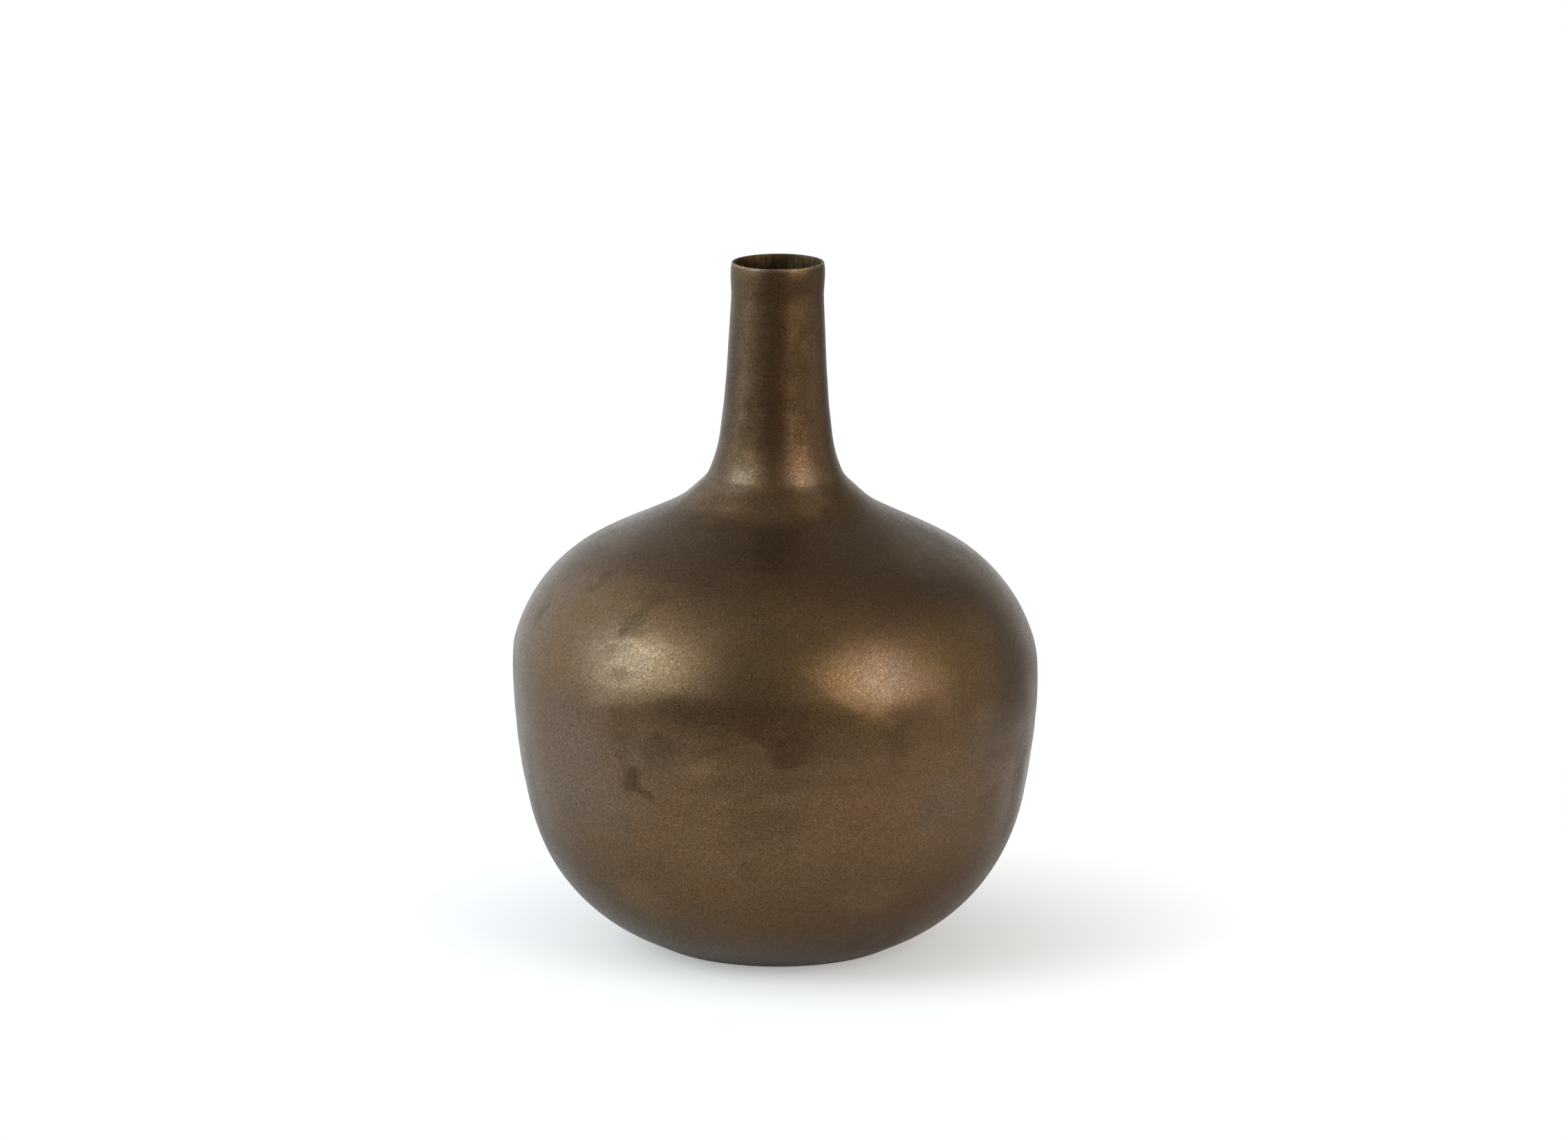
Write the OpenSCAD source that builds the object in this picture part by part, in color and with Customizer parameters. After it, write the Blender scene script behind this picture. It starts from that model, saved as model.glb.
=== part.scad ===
// Round-bellied sheet-metal vase with a narrow neck, in millimetres.
// Two spun halves meet at the girth, and a rolled neck stands on the upper one.
// The outside is one smooth chain of arcs and straights. Each piece follows
// its own stretch of that chain, and dressed welds fill the bevelled joints.
// The origin is under the middle of the foot, on the surface the vase stands on.

/* [Belly] */
// Outside diameter at the girth, where the two halves meet
girth_d = 240; // [228:1:280]
// Sheet thickness of the two spun halves
shell_wall = 1.2; // [0.8:0.1:2]

/* [Shoulder] */
// Radius of the tight turn just above the girth
knuckle_r = 40; // [30:0.5:60]
// Lean from upright at which the tight turn ends
knuckle_lean = 16; // [10:0.5:24]
// Radius of the round of the shoulder
crown_r = 73.5; // [60:0.5:85]
// Lean of the straight slope above the round
slope_lean = 64; // [58:0.5:70]
// Diameter at which the slope folds up into the boss under the neck
boss_d = 95; // [86:1:110]
// Radius of that fold
boss_fold_r = 20; // [8:1:30]
// Lean of the boss
boss_lean = 49; // [44:0.5:56]

/* [Bowl] */
// Radius of the nearly upright side below the girth
side_r = 310; // [250:5:400]
// Lean at which the side runs into the heel
side_lean = 12; // [8:0.5:16]
// Radius of the round heel
heel_r = 87.5; // [75:0.5:98]
// Lean of the short straight between the heel and the foot
heel_lean = 64; // [58:0.5:68]

/* [Foot] */
// Outside diameter of the flat ring that the vase stands on
foot_d = 102; // [80:1:116]
// Radius of the fold at the ring's outer edge
foot_fold_r = 12; // [6:0.5:20]
// Width of the flat ring
foot_flat_w = 18; // [12:1:24]
// Radius of the two turns of the pushed-up middle
push_up_r = 12; // [8:0.5:16]
// Slant between those two turns
push_up_slant = 25; // [15:1:35]

/* [Neck] */
// Height of the neck from its weld to the lip
neck_h = 98; // [85:1:140]
// Outside diameter of the mouth
mouth_d = 42; // [34:0.5:50]
// Sheet thickness of the neck
neck_wall = 1.2; // [1.1:0.1:2]
// Height of the straight band at the mouth
band_h = 16; // [8:1:24]
// Radius of the slight bend below the band
band_bend_r = 12; // [6:1:20]
// Lean of the tapered stretch below the band
taper_lean = 3; // [2:0.25:4.5]
// Radius of the long upper flare
throat_r = 360; // [250:5:450]
// Lean between the upper and the lower flare
throat_lean = 8; // [6:0.5:11]
// Radius of the short lower flare
flare_r = 59.5; // [45:0.5:75]
// Lean of the neck where it meets its weld
root_lean = 26; // [20:0.5:32]
// Rounding of the lip's two edges
lip_r = 0.4; // [0.2:0.05:0.5]

/* [Welds] */
// Radius of the dressed weld in the corner between the boss and the neck
neck_weld_r = 9; // [6:0.5:14]
// Width of the dressed weld round the girth
girth_weld_w = 5; // [3.5:0.5:8]
// Width of both round welds at the inside of the sheet
weld_root_w = 1.6; // [0.8:0.2:2.4]
// Height of their beads inside
weld_bead_h = 0.5; // [0.2:0.1:0.8]
// Width of the weld that closes the rolled neck lengthwise
seam_w = 3; // [2:0.5:5]
// Height of its bead inside the neck
seam_bead_h = 0.5; // [0.2:0.1:0.8]
// Direction of this weld seen from above, anticlockwise from the right
seam_turn = 66; // [0:1:359]

/* [Pads] */
// Number of felt pads under the foot
pad_count = 4; // [3:1:6]
// Diameter of a pad
pad_d = 10; // [7:0.5:12]
// Thickness of a pad
pad_h = 1; // [0.5:0.1:2]

/* [Hidden] */

// Greatest change of lean from one point of an arc to the next
arc_step = 3;
// Points in the round of a lip edge and in the bulge of a bead
lip_steps = 4;
bead_steps = 6;
// How far a cut runs past what it cuts
overrun = 2;
// Shortest straight left between two rounds, and the lean of a level stretch
least_straight = 2;
level_lean = 90;
$fn = 120;

bronze = [0.33, 0.25, 0.17];
dark_bronze = [0.25, 0.19, 0.13];
bare_weld = [0.45, 0.38, 0.28];
felt = [0.1, 0.1, 0.1];

// Change of radius and of height along an arc from one lean to another
function arc_in(radius, lean_a, lean_b) = radius * abs(cos(lean_a) - cos(lean_b));
function arc_rise(radius, lean_a, lean_b) = radius * abs(sin(lean_a) - sin(lean_b));
// Change of lean along a length of an arc
function turn_of(length, radius) = length / radius * 180 / PI;

girth_r = girth_d / 2;
mouth_r = mouth_d / 2;
foot_r = foot_d / 2;

// Radius of a round between two leans, no larger than a stretch this wide has room for
function fitting_r(radius, width, lean_a, lean_b) =
    min(radius, width / abs(cos(lean_a) - cos(lean_b)));

// The bowl, from the girth down: what is left for the straight, and the height of the girth
side_end_r = girth_r - arc_in(side_r, 0, side_lean);
foot_fold_start_r = foot_r + arc_in(foot_fold_r, heel_lean, level_lean);
heel_w = side_end_r - foot_fold_start_r - least_straight * sin(heel_lean);
heel_round_r = fitting_r(heel_r, heel_w, side_lean, heel_lean);
heel_end_r = side_end_r - arc_in(heel_round_r, side_lean, heel_lean);
foot_straight = (heel_end_r - foot_fold_start_r) / sin(heel_lean);
girth_z = pad_h + arc_rise(foot_fold_r, heel_lean, level_lean) + foot_straight * cos(heel_lean)
    + arc_rise(heel_round_r, side_lean, heel_lean) + arc_rise(side_r, 0, side_lean);

// The neck, from the lip down: what is left for the taper, and the radius at the root
taper_l = (neck_h - band_h - arc_rise(band_bend_r, 0, taper_lean)
    - arc_rise(throat_r, taper_lean, throat_lean)
    - arc_rise(flare_r, throat_lean, root_lean)) / cos(taper_lean);
root_r = mouth_r + arc_in(band_bend_r, 0, taper_lean) + taper_l * sin(taper_lean)
    + arc_in(throat_r, taper_lean, throat_lean) + arc_in(flare_r, throat_lean, root_lean);

// The shoulder, from the girth up: what is left for the slope and for the boss
boss_r = boss_d / 2;
knuckle_end_r = girth_r - arc_in(knuckle_r, 0, knuckle_lean);
crown_w = knuckle_end_r - boss_r - least_straight * sin(slope_lean);
crown_round_r = fitting_r(crown_r, crown_w, knuckle_lean, slope_lean);
crown_end_r = knuckle_end_r - arc_in(crown_round_r, knuckle_lean, slope_lean);
slope_l = (crown_end_r - boss_r) / sin(slope_lean);
boss_end_r = root_r + arc_in(neck_weld_r, root_lean, boss_lean);
boss_fold_w = boss_r - boss_end_r - least_straight * sin(boss_lean);
boss_round_r = fitting_r(boss_fold_r, boss_fold_w, boss_lean, slope_lean);
boss_start_r = boss_r - arc_in(boss_round_r, boss_lean, slope_lean);
boss_l = (boss_start_r - boss_end_r) / sin(boss_lean);

// A path is a list of points [radius, height, lean] on the outside surface.
// Lean is the angle from upright, towards the axis. Way is 1 for a path that
// climbs from the girth and -1 for one that goes down from it.
up = 1;
down = -1;
// A leg of a path is an arc to a new lean, or a straight
function arc_to(radius, lean) = [radius, lean];
function straight(length) = [0, length];
function leg_steps(p, leg) = leg[0] == 0 ? 1 : max(1, ceil(abs(leg[1] - p[2]) / arc_step));
function along_straight(p, length, way) =
    [p[0] - length * sin(p[2]), p[1] + way * length * cos(p[2]), p[2]];
function along_arc(p, radius, lean, way) =
    let (turn = sign(lean - p[2]))
    [
        p[0] - turn * radius * (cos(p[2]) - cos(lean)),
        p[1] + way * turn * radius * (sin(lean) - sin(p[2])),
        lean
    ];
function along(p, leg, share, way) =
    leg[0] == 0
        ? along_straight(p, share * leg[1], way)
        : along_arc(p, leg[0], p[2] + share * (leg[1] - p[2]), way);
function last(path) = path[len(path) - 1];
function walk(path, legs, way, i = 0) =
    i == len(legs)
        ? path
        : let (start = last(path), n = leg_steps(start, legs[i]))
            walk(
                concat(path, [for (k = [1:n]) along(start, legs[i], k / n, way)]),
                legs, way, i + 1
            );
// Two paths as one, where the second starts at the end of the first
function joined(a, b) = concat(a, [for (k = [1:len(b) - 1]) b[k]]);
function reversed(list) = [for (k = [len(list) - 1:-1:0]) list[k]];
// Points of a path on its surface, or at a depth below it
function on(path) = [for (p = path) [p[0], p[1]]];
function below(p, depth, way) = [p[0] - depth * cos(p[2]), p[1] - way * depth * sin(p[2])];
function under(path, depth, way) = [for (p = path) below(p, depth, way)];
// Points from a to b, bulging in between by the bead's height to the right
function bead(a, b, height) =
    let (across = (b - a) / norm(b - a))
    [
        for (k = [0:bead_steps])
            a + k / bead_steps * (b - a)
                + height * sin(180 * k / bead_steps) * [across[1], -across[0]]
    ];

// The chain from the girth up. The root and the two bevels of a weld come first.
girth = [girth_r, girth_z, 0];
girth_root_up = walk([girth], [arc_to(knuckle_r, turn_of(weld_root_w / 2, knuckle_r))], up);
girth_bevel_up = walk(
    [last(girth_root_up)],
    [arc_to(knuckle_r, turn_of(girth_weld_w / 2, knuckle_r))],
    up
);
shoulder_path = walk(
    [last(girth_bevel_up)],
    [
        arc_to(knuckle_r, knuckle_lean),
        arc_to(crown_round_r, slope_lean),
        straight(slope_l),
        arc_to(boss_round_r, boss_lean),
        straight(boss_l)
    ],
    up
);
neck_weld_lean = (boss_lean + root_lean) / 2;
neck_root_turn = turn_of(weld_root_w / 2, neck_weld_r);
boss_bevel = walk(
    [last(shoulder_path)],
    [arc_to(neck_weld_r, neck_weld_lean + neck_root_turn)],
    up
);
neck_root = walk(
    [last(boss_bevel)],
    [arc_to(neck_weld_r, neck_weld_lean - neck_root_turn)],
    up
);
neck_bevel = walk([last(neck_root)], [arc_to(neck_weld_r, root_lean)], up);
neck_path = walk(
    [last(neck_bevel)],
    [arc_to(flare_r, throat_lean), arc_to(throat_r, taper_lean), straight(taper_l)],
    up
);
mouth_path = walk(
    [last(neck_path)],
    [arc_to(band_bend_r, 0), straight(band_h - lip_r)],
    up
);
lip_z = last(mouth_path)[1];

// The chain from the girth down to the axis
girth_root_down = walk([girth], [arc_to(side_r, turn_of(weld_root_w / 2, side_r))], down);
girth_bevel_down = walk(
    [last(girth_root_down)],
    [arc_to(side_r, turn_of(girth_weld_w / 2, side_r))],
    down
);
bowl_wall_path = walk(
    [last(girth_bevel_down)],
    [
        arc_to(side_r, side_lean),
        arc_to(heel_round_r, heel_lean),
        straight(foot_straight),
        arc_to(foot_fold_r, level_lean),
        straight(foot_flat_w),
        arc_to(push_up_r, level_lean + push_up_slant),
        arc_to(push_up_r, level_lean)
    ],
    down
);
bowl_path = concat(bowl_wall_path, [[0, last(bowl_wall_path)[1], level_lean]]);

// The lip, from the outside edge over to the inside edge
function round_edge(centre, angle_a, angle_b, steps) =
    [
        for (k = steps)
            let (angle = angle_a + k / lip_steps * (angle_b - angle_a))
            centre + lip_r * [cos(angle), sin(angle)]
    ];
lip = concat(
    round_edge([mouth_r - lip_r, lip_z], 0, 90, [1:lip_steps]),
    round_edge([mouth_r - neck_wall + lip_r, lip_z], 90, 180, [0:lip_steps - 1])
);

module neck_section() {
    polygon(concat(
        on(joined(neck_path, mouth_path)),
        lip,
        reversed(under(joined(neck_bevel, joined(neck_path, mouth_path)), neck_wall, up))
    ));
}

// As the neck's own section, but thicker at the inside, except where it is dressed at the mouth
module seam_section() {
    polygon(concat(
        on(joined(neck_path, mouth_path)),
        lip,
        reversed(under(mouth_path, neck_wall, up)),
        reversed(under(joined(neck_bevel, neck_path), neck_wall + seam_bead_h, up)),
        [below(neck_bevel[0], neck_wall, up)]
    ));
}

// The slab that stands on the axis and cuts the neck where its edges meet
module seam_slab() {
    slab_low = neck_root[0][1] - overrun;
    slab_high = lip_z + lip_r + overrun;
    rotate([0, 0, seam_turn])
        translate([0, -seam_w / 2, slab_low])
            cube([boss_end_r + overrun, seam_w, slab_high - slab_low]);
}

module neck_tube() {
    color(bronze)
        difference() {
            rotate_extrude() neck_section();
            seam_slab();
        }
}

module neck_side_seam() {
    color(bare_weld)
        intersection() {
            rotate_extrude() seam_section();
            seam_slab();
        }
}

module neck_weld() {
    color(dark_bronze)
        rotate_extrude()
            polygon(concat(
                on(joined(boss_bevel, joined(neck_root, neck_bevel))),
                bead(
                    below(last(neck_root), neck_wall, up),
                    below(neck_root[0], shell_wall, up),
                    weld_bead_h
                )
            ));
}

module shoulder_shell() {
    color(bronze)
        rotate_extrude()
            polygon(concat(
                on(shoulder_path),
                reversed(under(
                    joined(girth_bevel_up, joined(shoulder_path, boss_bevel)),
                    shell_wall,
                    up
                ))
            ));
}

module girth_weld() {
    color(dark_bronze)
        rotate_extrude()
            polygon(concat(
                on(joined(
                    reversed(joined(girth_root_down, girth_bevel_down)),
                    joined(girth_root_up, girth_bevel_up)
                )),
                bead(
                    below(last(girth_root_up), shell_wall, up),
                    below(last(girth_root_down), shell_wall, down),
                    weld_bead_h
                )
            ));
}

module bowl_shell() {
    color(bronze)
        rotate_extrude()
            polygon(concat(
                on(bowl_path),
                reversed(under(joined(girth_bevel_down, bowl_path), shell_wall, down))
            ));
}

module felt_pads() {
    color(felt)
        for (k = [0:pad_count - 1])
            rotate([0, 0, 360 / pad_count * (k + 1 / 2)])
                translate([foot_r - foot_flat_w / 2, 0, 0])
                    cylinder(d = pad_d, h = pad_h);
}

neck_tube();
neck_side_seam();
neck_weld();
shoulder_shell();
girth_weld();
bowl_shell();
felt_pads();
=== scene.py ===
"""Round-bellied metal vase with a tall narrow neck, under a bronze-coloured coat.

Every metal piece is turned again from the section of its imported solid, on a finer mesh
that also takes the lean, the tilt and the small dents of a vase made by hand.
Lengths are in metres and angles in degrees. The photograph looks along +Y.
"""

import math

import bpy
import numpy as np
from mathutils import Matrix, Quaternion, Vector

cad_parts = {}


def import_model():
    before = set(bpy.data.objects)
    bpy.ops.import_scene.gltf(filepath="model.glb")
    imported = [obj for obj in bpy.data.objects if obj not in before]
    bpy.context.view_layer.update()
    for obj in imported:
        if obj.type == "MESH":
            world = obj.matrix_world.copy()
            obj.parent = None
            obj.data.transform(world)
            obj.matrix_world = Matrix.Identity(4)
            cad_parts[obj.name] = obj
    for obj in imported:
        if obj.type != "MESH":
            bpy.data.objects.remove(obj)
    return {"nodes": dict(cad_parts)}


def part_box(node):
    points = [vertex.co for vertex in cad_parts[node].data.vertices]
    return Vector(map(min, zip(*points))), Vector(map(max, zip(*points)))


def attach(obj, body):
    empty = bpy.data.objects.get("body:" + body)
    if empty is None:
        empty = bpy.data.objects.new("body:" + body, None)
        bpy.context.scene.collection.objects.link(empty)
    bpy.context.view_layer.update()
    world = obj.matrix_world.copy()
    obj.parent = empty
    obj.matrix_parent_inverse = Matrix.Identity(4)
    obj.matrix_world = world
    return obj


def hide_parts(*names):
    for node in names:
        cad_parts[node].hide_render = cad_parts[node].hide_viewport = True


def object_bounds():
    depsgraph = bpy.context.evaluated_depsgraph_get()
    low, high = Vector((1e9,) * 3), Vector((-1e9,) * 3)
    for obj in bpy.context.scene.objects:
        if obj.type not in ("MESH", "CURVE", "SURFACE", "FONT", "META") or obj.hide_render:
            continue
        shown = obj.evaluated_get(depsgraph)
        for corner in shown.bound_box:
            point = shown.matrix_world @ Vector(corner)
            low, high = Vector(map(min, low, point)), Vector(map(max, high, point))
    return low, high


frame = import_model()
cad_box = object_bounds()

MM = 0.001
BODY = "root"

# How finely the pieces are turned
SPACING = 1.0 * MM
STEPS_AROUND = 480
SEAM_STEPS = 12

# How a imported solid's section is read. Points nearer than SAME_POINT are one corner, and a
# line counts where its mesh has it at LEAST_COPIES places round the axis
SAME_POINT = 0.02 * MM
ROUND_DIGITS = 6
LEAST_COPIES = 20

# A turn sharper than this stays a corner, in the sections and in the shading
CORNER_TURN = 30

# Heights that the shapes below refer to
GIRTH_Z = (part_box("girth_weld")[0].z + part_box("girth_weld")[1].z) / 2
ROOT_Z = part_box("neck_weld")[1].z
LIP_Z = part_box("neck_tube")[1].z
BAND_H = 16 * MM

# A piece belongs to the neck where it reaches down no further than this below the root
NECK_PIECES_REACH = 10 * MM

# The least radius and the least length that are divided by
LEAST_R = 1 * MM
TINY = 1e-9

# The lengthwise weld of the neck, and where its bead fades out below the band
SEAM_W = 3 * MM
SEAM_TURN = 66
SEAM_BEAD = 0.5 * MM
BEAD_FADE_FROM = 5 * MM
BEAD_FADE_TO = 1 * MM

# The worn part of the rim, down from the lip
WORN_FROM = 0.9 * MM
WORN_TO = 0.2 * MM

# Camera, from the rim's ellipse and the outline in the photograph
PICTURE_W = 2268
SENSOR_W = 36
LENS = 180
CAMERA_DISTANCE = 3.5743
CAMERA_PITCH = 12.55
AIM_Z = 173.87 * MM
AXIS_PIXEL = 1121.9


def smooth_step(value, low, high):
    """0 below low and 1 above high, with a soft change between."""
    t = np.clip((value - low) / (high - low), 0, 1)
    return t * t * (3 - 2 * t)


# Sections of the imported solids

def corner_graph(mesh):
    """The corners [radius, height] of a turned piece's section, and the pairs that it joins."""
    points = np.array([[math.hypot(v.co.x, v.co.y), v.co.z] for v in mesh.vertices])
    rough, rough_of = np.unique(np.round(points, ROUND_DIGITS), axis=0, return_inverse=True)
    corners = []
    corner_of = []
    for p in rough:
        near = [k for k, q in enumerate(corners) if np.abs(p - q).max() < SAME_POINT]
        if not near:
            near = [len(corners)]
            corners.append(p)
        corner_of.append(near[0])
    ends = np.array([e.vertices[:] for e in mesh.edges])
    pairs = np.sort(np.array(corner_of)[rough_of.ravel()[ends]], axis=1)
    pairs = pairs[pairs[:, 0] != pairs[:, 1]]
    pairs, copies = np.unique(pairs, axis=0, return_counts=True)
    return np.array(corners), pairs[copies >= LEAST_COPIES]


def section(name):
    """The corners of a node's section in order, anticlockwise with radius to the right."""
    corners, pairs = corner_graph(frame["nodes"][name].data)
    joined = {}
    for a, b in pairs:
        joined.setdefault(a, []).append(b)
        joined.setdefault(b, []).append(a)
    ends = [k for k, others in joined.items() if len(others) == 1]
    path = [ends[0] if ends else next(iter(joined))]
    while True:
        ahead = [k for k in joined[path[-1]] if k not in path[-2:]]
        if not ahead or ahead[0] == path[0]:
            break
        path.append(ahead[0])
    points = corners[path]
    r, z = points.T
    area = np.sum(r * np.roll(z, -1) - np.roll(r, -1) * z)
    return points if area > 0 else points[::-1]


def turns(points):
    """Change of direction at each point of a closed outline."""
    ahead = np.roll(points, -1, axis=0) - points
    angle = np.degrees(np.arctan2(ahead[:, 1], ahead[:, 0]))
    return (angle - np.roll(angle, 1) + 180) % 360 - 180


def curve_through(points):
    """A fine row of points on a smooth curve through the points, without the last one."""
    leg = np.diff(points, axis=0)
    length = np.linalg.norm(leg, axis=1)
    way = leg / length[:, None]
    tangent = np.empty_like(points)
    if len(way) == 1:
        tangent[:] = way[0]
    else:
        share = (length[:-1] / (length[:-1] + length[1:]))[:, None]
        tangent[1:-1] = way[:-1] * (1 - share) + way[1:] * share
        tangent[0] = 2 * way[0] - tangent[1]
        tangent[-1] = 2 * way[-1] - tangent[-2]
    tangent /= np.linalg.norm(tangent, axis=1)[:, None]
    rows = []
    for k in range(len(leg)):
        count = max(1, math.ceil(length[k] / SPACING))
        t = (np.arange(count) / count)[:, None]
        rows.append(
            points[k] * (1 + t * t * (2 * t - 3))
            + points[k + 1] * t * t * (3 - 2 * t)
            + tangent[k] * length[k] * t * (1 - t) ** 2
            + tangent[k + 1] * length[k] * t * t * (t - 1)
        )
    return np.vstack(rows)


def fine_outline(name):
    """A node's whole section as fine points: smooth along its arcs, sharp at its corners."""
    points = section(name)
    on_axis = points[:, 0] < SAME_POINT
    sharp = np.nonzero((np.abs(turns(points)) > CORNER_TURN) | on_axis)[0]
    rows = []
    for k, start in enumerate(sharp):
        stop = sharp[(k + 1) % len(sharp)]
        run = np.arange(start, stop + 1 + (len(points) if stop <= start else 0)) % len(points)
        if on_axis[start] and on_axis[stop]:
            rows.append(points[start:start + 1])
        else:
            rows.append(curve_through(points[run]))
    return np.vstack(rows)


# The shape that hands gave it

# The folds at the neck's root are softened between two heights, by a bell of some spread
EASE_FROM_Z = 186 * MM
EASE_TO_Z = 228 * MM
EASE_STEP = 0.25 * MM
EASE_SPREAD = 2.0 * MM
EASE_MARGIN = 4 * EASE_SPREAD
EASE_REACH = 3 * EASE_SPREAD
EASE_IN = 2 * EASE_SPREAD
EASE_OUT = 3 * EASE_SPREAD

# The shoulder's tilt, which fades out below the lip, and how far it sinks and shifts
TILT = 0.75
TILT_FROM_Z = 108 * MM
TILT_TO_Z = 140 * MM
TILT_FADE = 70 * MM
SHOULDER_SINK = 0.15 * MM
SHOULDER_SHIFT = -0.4 * MM
SHOULDER_SHIFT_Z = (117 * MM, 131 * MM)

# The neck's shift and lean
NECK_SHIFT = 0.15 * MM
NECK_SHIFT_Z = (165 * MM, 218 * MM)
NECK_LEAN = 0.62
NECK_LEAN_FROM_Z = 232 * MM

FOOT_TILT = 0.3
FOOT_TILT_BELOW_Z = 30 * MM

# The rim's wave, with its mean, its three lobes and its rise at the front as shares of it
RIM_WAVE = 0.25 * MM
RIM_MEAN = 0.5
RIM_LOBES = 0.15
RIM_LOBE_COUNT = 3
RIM_LOBE_PHASE = 0.6
RIM_FRONT = 0.35

# The wall's slow waves: how many, how many times round, length upwards and depth
WAVE_COUNT = 14
WAVES_AROUND = (2, 8)
WAVE_LENGTH = 45 * MM
WAVE_DEPTH = 0.06 * MM
WAVE_SEED = 11

# Dents and waves fade out towards the axis and the foot
WALL_R = (16 * MM, 40 * MM)
WALL_Z = (6 * MM, 30 * MM)

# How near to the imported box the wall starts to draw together
BOX_EASE = 0.8 * MM

# Rings where the wall stands out or in by a little: height, spread, how far out
RINGS = [
    (57 * MM, 15 * MM, -0.32 * MM),
    (126 * MM, 7 * MM, 0.20 * MM),
    (189 * MM, 4 * MM, -0.22 * MM),
    (200.3 * MM, 8 * MM, -1.10 * MM),
    (213.5 * MM, 1.8 * MM, 0.08 * MM),
    (219.5 * MM, 4 * MM, -0.18 * MM),
]

# Dents: turn from the front (to the right), height, width, height of the dent, slant, depth
DENTS = [
    (-53.0, 170 * MM, 6 * MM, 2.2 * MM, 35, 0.30 * MM),
    (-33.5, 166 * MM, 5 * MM, 1.8 * MM, 30, 0.22 * MM),
    (-35.5, 160 * MM, 4 * MM, 1.6 * MM, 15, 0.16 * MM),
    (-33.0, 108 * MM, 5 * MM, 9 * MM, 20, 0.35 * MM),
    (1.5, 115 * MM, 14 * MM, 8 * MM, 0, 0.22 * MM),
    (27.0, 124 * MM, 9 * MM, 7 * MM, 0, 0.18 * MM),
]


def outer_radius(names, heights):
    """Radius of the outermost wall of some nodes at each height."""
    widest = np.zeros(len(heights))
    for name in names:
        points = section(name)
        for (r, z), (r_next, z_next) in zip(points, np.roll(points, -1, axis=0)):
            if z == z_next:
                continue
            share = (heights - z) / (z_next - z)
            found = r + share * (r_next - r)
            widest = np.where((share >= 0) & (share <= 1), np.maximum(widest, found), widest)
    return widest


def eased_root():
    """Heights, and how far the wall is pushed out there to soften the folds at the root."""
    heights = np.arange(EASE_FROM_Z - EASE_MARGIN, EASE_TO_Z + EASE_MARGIN, EASE_STEP)
    radius = outer_radius(("shoulder_shell", "neck_weld", "neck_tube"), heights)
    reach = np.arange(-EASE_REACH, EASE_REACH, EASE_STEP)
    weights = np.exp(-0.5 * (reach / EASE_SPREAD) ** 2)
    padded = np.pad(radius, len(reach) // 2, mode="reflect", reflect_type="odd")
    softened = np.convolve(padded, weights / weights.sum(), mode="same")
    softened = softened[len(reach) // 2:][:len(radius)]
    ends = smooth_step(heights, EASE_FROM_Z, EASE_FROM_Z + EASE_IN)
    ends *= 1 - smooth_step(heights, EASE_TO_Z - EASE_OUT, EASE_TO_Z)
    return heights, (softened - radius) * ends


ROOT_EASE = eased_root()


def waves(turn, height):
    """A slow unevenness of the wall, from a few long waves round and up the vase."""
    rng = np.random.default_rng(WAVE_SEED)
    total = np.zeros_like(turn)
    for _ in range(WAVE_COUNT):
        around = rng.integers(*WAVES_AROUND)
        upward = rng.uniform(-1, 1) * 2 * math.pi / WAVE_LENGTH
        phase = rng.uniform(0, 2 * math.pi)
        total += np.cos(around * turn + upward * height + phase)
    return WAVE_DEPTH * total


def dents(turn, height, radius):
    """Depth of the dents at a turn from the front, in radians, and a height."""
    total = np.zeros_like(turn)
    for at_turn, at_height, width, tall, slant, depth in DENTS:
        across = radius * np.sin(turn - math.radians(at_turn))
        front = np.cos(turn - math.radians(at_turn)) > 0
        up = height - at_height
        c, s = math.cos(math.radians(slant)), math.sin(math.radians(slant))
        u = (across * c + up * s) / width
        v = (up * c - across * s) / tall
        total += depth * np.exp(-(u * u + v * v)) * front
    return total


def pushed_out(turn, radius, z):
    """How far the wall stands out at each point, by dents, waves, rings and the soft root."""
    wall = smooth_step(radius, *WALL_R) * smooth_step(z, *WALL_Z)
    push = -dents(turn, z, radius) * wall - np.abs(waves(turn, z)) * wall
    push += np.interp(z, *ROOT_EASE, left=0, right=0)
    for at_height, spread, out in RINGS:
        push += out * np.exp(-((z - at_height) / spread) ** 2)
    return push


def shifted(z):
    """How far each height lies to the right, by the shoulder's shift and the neck's lean."""
    neck = smooth_step(z, *NECK_SHIFT_Z)
    shift = SHOULDER_SHIFT * smooth_step(z, *SHOULDER_SHIFT_Z) * (1 - neck) + NECK_SHIFT * neck
    return shift + np.maximum(z - NECK_LEAN_FROM_Z, 0) * math.tan(math.radians(NECK_LEAN))


def sunk(turn, x, z):
    """How far each point lies lower, by the shoulder's and the foot's tilt and the rim's wave."""
    sink = x * math.tan(math.radians(TILT)) + SHOULDER_SINK
    sink *= smooth_step(z, TILT_FROM_Z, TILT_TO_Z)
    sink *= smooth_step(LIP_Z - z, 0, TILT_FADE)
    foot = 1 - smooth_step(z, 0, FOOT_TILT_BELOW_Z)
    sink += x * math.tan(math.radians(FOOT_TILT)) * foot
    lobes = RIM_LOBES * np.cos(RIM_LOBE_COUNT * turn + RIM_LOBE_PHASE)
    rim = smooth_step(z, LIP_Z - BAND_H, LIP_Z)
    return sink + RIM_WAVE * rim * (RIM_MEAN + lobes - RIM_FRONT * np.cos(turn))


def eased_within(values, low, high):
    """Values between two limits: near a limit they draw together, but keep their order."""
    middle = (low + high) / 2
    knee = (high - low) / 2 - BOX_EASE
    away = np.abs(values - middle)
    past = BOX_EASE * np.tanh(np.maximum(away - knee, 0) / BOX_EASE)
    return middle + np.sign(values - middle) * (np.minimum(away, knee) + past)


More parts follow.
